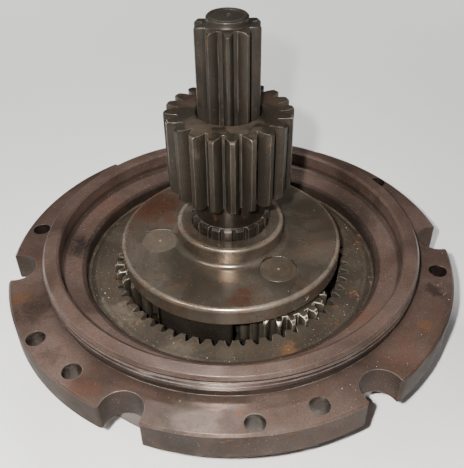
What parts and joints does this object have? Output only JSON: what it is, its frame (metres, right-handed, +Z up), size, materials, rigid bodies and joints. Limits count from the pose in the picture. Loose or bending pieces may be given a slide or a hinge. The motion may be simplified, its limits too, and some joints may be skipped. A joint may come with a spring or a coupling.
{
  "type": "planetary gearbox",
  "caption": "Round end cover with a fixed ring gear, a planet carrier with its planets, a splined second-stage sun gear and a toothed input shaft.",
  "frame": {"origin": "centre of the end cover's underside, on the gearbox axis", "axes": "+Z up the input shaft; the cover's broad side with the lone pair of close bolt holes faces -Y"},
  "size_m": [0.2799, 0.28, 0.203],
  "materials": {
    "cover_iron": "oily machined iron",
    "ring_steel": "oily dark steel",
    "carrier_steel": "oily turned steel",
    "gear_steel": "oiled hardened gear steel",
    "shaft_steel": "oiled hardened gear steel",
    "pin_steel": "ground steel",
    "bearing_steel": "ground bearing steel",
    "thrust_steel": "ground steel",
    "plug_steel": "zinc-plated steel, dulled",
    "seal_copper": "copper sealing ring"
  },
  "bodies": {
    "casing": {"end_cover": "cover_iron", "ring_gear": "ring_steel", "ring_gear_pins": "pin_steel", "thrust_button": "thrust_steel", "oil_plugs": "plug_steel", "oil_plug_seals": "seal_copper"},
    "carrier": {"planet_carrier": "carrier_steel", "carrier_lock_pins": "pin_steel", "planet_pin_1": "pin_steel", "planet_pin_2": "pin_steel", "planet_pin_3": "pin_steel", "planet_washers_1": "thrust_steel", "planet_washers_2": "thrust_steel", "planet_washers_3": "thrust_steel"},
    "input": {"input_shaft": "shaft_steel", "sun_thrust_washer": "thrust_steel"},
    "planet_1": {"planet_gear_1": "gear_steel"},
    "planet_2": {"planet_gear_2": "gear_steel"},
    "planet_3": {"planet_gear_3": "gear_steel"},
    "bearing_1": {"planet_needles_1": "bearing_steel", "needle_cage_1": "bearing_steel"},
    "bearing_2": {"planet_needles_2": "bearing_steel", "needle_cage_2": "bearing_steel"},
    "bearing_3": {"planet_needles_3": "bearing_steel", "needle_cage_3": "bearing_steel"},
    "second_sun": {"sun_gear": "gear_steel"}
  },
  "joints": [
    {"name": "carrier_spin", "type": "hinge", "parent": "casing", "child": "carrier", "pos_m": [0, 0, 0.058], "axis": [0, 0, 1], "continuous": true},
    {"name": "input_spin", "type": "hinge", "parent": "casing", "child": "input", "pos_m": [0, 0, 0.036], "axis": [0, 0, 1], "continuous": true},
    {"name": "planet_1_spin", "type": "hinge", "parent": "carrier", "child": "planet_1", "pos_m": [0.01657, 0.04184, 0.037], "axis": [0, 0, 1], "continuous": true},
    {"name": "bearing_1_spin", "type": "hinge", "parent": "carrier", "child": "bearing_1", "pos_m": [0.01657, 0.04184, 0.037], "axis": [0, 0, 1], "continuous": true},
    {"name": "planet_2_spin", "type": "hinge", "parent": "carrier", "child": "planet_2", "pos_m": [-0.04452, -0.00657, 0.037], "axis": [0, 0, 1], "continuous": true},
    {"name": "bearing_2_spin", "type": "hinge", "parent": "carrier", "child": "bearing_2", "pos_m": [-0.04452, -0.00657, 0.037], "axis": [0, 0, 1], "continuous": true},
    {"name": "planet_3_spin", "type": "hinge", "parent": "carrier", "child": "planet_3", "pos_m": [0.02795, -0.03527, 0.037], "axis": [0, 0, 1], "continuous": true},
    {"name": "bearing_3_spin", "type": "hinge", "parent": "carrier", "child": "bearing_3", "pos_m": [0.02795, -0.03527, 0.037], "axis": [0, 0, 1], "continuous": true},
    {"name": "sun_gear_slide", "type": "slide", "parent": "carrier", "child": "second_sun", "axis": [0, 0, 1], "range_m": [0, 0.03]}
  ],
  "couplings": [
    {"joint": "input_spin", "follows": "carrier_spin", "ratio": 5.1429},
    {"joint": "planet_1_spin", "follows": "carrier_spin", "ratio": -2.6364},
    {"joint": "bearing_1_spin", "follows": "carrier_spin", "ratio": -1.4715},
    {"joint": "planet_2_spin", "follows": "carrier_spin", "ratio": -2.6364},
    {"joint": "bearing_2_spin", "follows": "carrier_spin", "ratio": -1.4715},
    {"joint": "planet_3_spin", "follows": "carrier_spin", "ratio": -2.6364},
    {"joint": "bearing_3_spin", "follows": "carrier_spin", "ratio": -1.4715}
  ]
}
